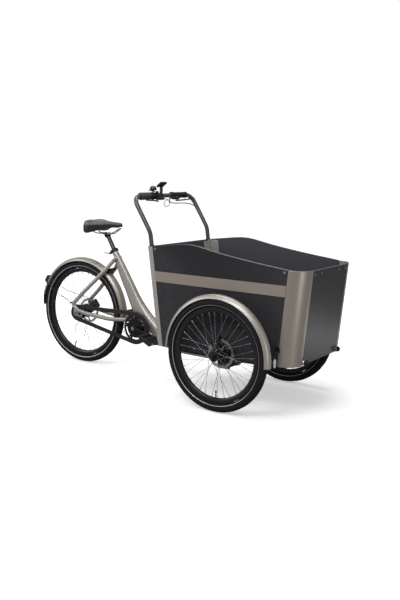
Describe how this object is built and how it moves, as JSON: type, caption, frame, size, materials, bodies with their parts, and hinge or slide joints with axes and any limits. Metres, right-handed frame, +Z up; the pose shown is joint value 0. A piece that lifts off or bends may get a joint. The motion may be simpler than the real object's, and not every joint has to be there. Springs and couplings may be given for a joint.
{
  "type": "front-box cargo tricycle",
  "caption": "Pedal cargo cycle: an open box between the front wheels swivels with them to steer; hoop handlebar, adjustable saddle, chain-driven rear wheel.",
  "frame": {"origin": "on the ground, at the centre of the overall bounding box", "axes": "+X forwards, towards the box's front panel; +Y to the rider's left; +Z up"},
  "size_m": [2.0746, 0.886, 1.1884],
  "materials": {
    "frame_paint": "satin metallic",
    "box_panel": "satin",
    "tyre": "matte",
    "black_metal": "satin",
    "bar_paint": "satin",
    "black_plastic": "satin",
    "bare_steel": "brushed",
    "grip": "matte",
    "saddle_cover": "matte",
    "red_lens": "gloss",
    "hose": "satin",
    "cable": "satin"
  },
  "bodies": {
    "rear_frame": {"main_frame": "frame_paint", "rear_axle": "bare_steel", "rear_mudguard": "frame_paint", "rear_light": "red_lens", "motor_housing": "black_plastic", "drive_chain": "black_metal", "chain_guard": "black_plastic", "rear_brake_caliper": "black_metal", "seat_clamp": "black_metal"},
    "clamp_lever": {"clamp_lever": "black_metal"},
    "seat": {"seat_post": "black_metal", "saddle_rails": "bare_steel", "saddle": "saddle_cover"},
    "rear_wheel": {"rear_tyre": "tyre", "rear_rim": "black_metal", "rear_hub_and_spokes": "black_metal", "rear_brake_rotor": "bare_steel"},
    "rear_sprocket": {"rear_sprocket": "bare_steel"},
    "crankset": {"crank_right": "black_metal", "crank_left": "black_metal", "chainring": "black_metal"},
    "pedal_right": {"pedal_right": "black_plastic"},
    "pedal_left": {"pedal_left": "black_plastic"},
    "box_module": {"chassis_frame": "black_metal", "box_floor": "box_panel", "side_panel_right": "box_panel", "side_panel_left": "box_panel", "front_panel": "box_panel", "rear_panel": "box_panel", "front_corner_right": "frame_paint", "front_corner_left": "frame_paint", "rear_post_right": "frame_paint", "rear_post_left": "frame_paint", "brake_caliper_right": "black_metal", "brake_caliper_left": "black_metal", "battery_pack": "black_plastic", "handlebar": "bar_paint", "grip_right": "grip", "grip_left": "grip", "lever_clamp_right": "black_metal", "lever_clamp_left": "black_metal", "front_mudguard_right": "frame_paint", "front_mudguard_left": "frame_paint", "bell": "black_plastic", "display": "black_plastic", "brake_hose": "hose", "shift_cable": "cable"},
    "front_right_wheel": {"front_right_tyre": "tyre", "front_right_rim": "black_metal", "front_right_hub_and_spokes": "black_metal", "front_right_brake_rotor": "bare_steel"},
    "front_left_wheel": {"front_left_tyre": "tyre", "front_left_rim": "black_metal", "front_left_hub_and_spokes": "black_metal", "front_left_brake_rotor": "bare_steel"},
    "twist_shifter": {"twist_shifter": "black_plastic"},
    "brake_lever_right": {"brake_lever_right": "black_metal"},
    "brake_lever_left": {"brake_lever_left": "black_metal"},
    "bell_lever": {"bell_lever": "black_plastic"},
    "display_button": {"display_button": "grip"}
  },
  "joints": [
    {"name": "steering_turn", "type": "hinge", "parent": "rear_frame", "child": "box_module", "pos_m": [0.4642, 0, 0.25], "axis": [0, 0, 1], "range_deg": [-35, 35]},
    {"name": "front_right_wheel_spin", "type": "hinge", "parent": "box_module", "child": "front_right_wheel", "pos_m": [0.5842, -0.389, 0.3055], "axis": [0, 1, 0], "continuous": true},
    {"name": "front_left_wheel_spin", "type": "hinge", "parent": "box_module", "child": "front_left_wheel", "pos_m": [0.5842, 0.389, 0.3055], "axis": [0, 1, 0], "continuous": true},
    {"name": "rear_wheel_spin", "type": "hinge", "parent": "rear_frame", "child": "rear_wheel", "pos_m": [-0.6948, 0, 0.331], "axis": [0, 1, 0], "continuous": true},
    {"name": "crank_spin", "type": "hinge", "parent": "rear_frame", "child": "crankset", "pos_m": [-0.2218, 0, 0.291], "axis": [0, 1, 0], "continuous": true},
    {"name": "rear_sprocket_spin", "type": "hinge", "parent": "rear_frame", "child": "rear_sprocket", "pos_m": [-0.6948, -0.0575, 0.331], "axis": [0, 1, 0], "continuous": true},
    {"name": "pedal_right_spin", "type": "hinge", "parent": "crankset", "child": "pedal_right", "pos_m": [-0.05552, -0.137, 0.25566], "axis": [0, 1, 0], "continuous": true},
    {"name": "pedal_left_spin", "type": "hinge", "parent": "crankset", "child": "pedal_left", "pos_m": [-0.38809, 0.137, 0.32634], "axis": [0, 1, 0], "continuous": true},
    {"name": "seat_height", "type": "slide", "parent": "rear_frame", "child": "seat", "axis": [-0.5151, 0, 0.8571], "range_m": [-0.045, 0.06]},
    {"name": "clamp_lever_swing", "type": "hinge", "parent": "rear_frame", "child": "clamp_lever", "pos_m": [-0.4708, 0, 0.728], "axis": [0, 1, 0], "range_deg": [-100, 0]},
    {"name": "brake_lever_right_pull", "type": "hinge", "parent": "box_module", "child": "brake_lever_right", "pos_m": [-0.0328, -0.101, 1.0755], "axis": [0, 0, -1], "range_deg": [0, 12], "stiffness_Nm_per_rad": 2, "springref_deg": -5.73},
    {"name": "brake_lever_left_pull", "type": "hinge", "parent": "box_module", "child": "brake_lever_left", "pos_m": [-0.0328, 0.101, 1.0755], "axis": [0, 0, 1], "range_deg": [0, 12], "stiffness_Nm_per_rad": 2, "springref_deg": -5.73},
    {"name": "shifter_twist", "type": "hinge", "parent": "box_module", "child": "twist_shifter", "pos_m": [-0.0638, -0.117, 1.104], "axis": [0, 1, 0], "range_deg": [-45, 45]},
    {"name": "bell_lever_push", "type": "hinge", "parent": "box_module", "child": "bell_lever", "pos_m": [-0.0598, -0.106, 1.134], "axis": [0, 0, 1], "range_deg": [0, 25], "stiffness_Nm_per_rad": 0.05, "springref_deg": -11.46},
    {"name": "display_button_press", "type": "slide", "parent": "box_module", "child": "display_button", "axis": [0.6157, 0, -0.788], "range_m": [0, 0.001], "stiffness_N_per_m": 300, "springref_m": -0.001}
  ],
  "couplings": [
    {"joint": "rear_sprocket_spin", "follows": "crank_spin", "ratio": 2.2}
  ]
}
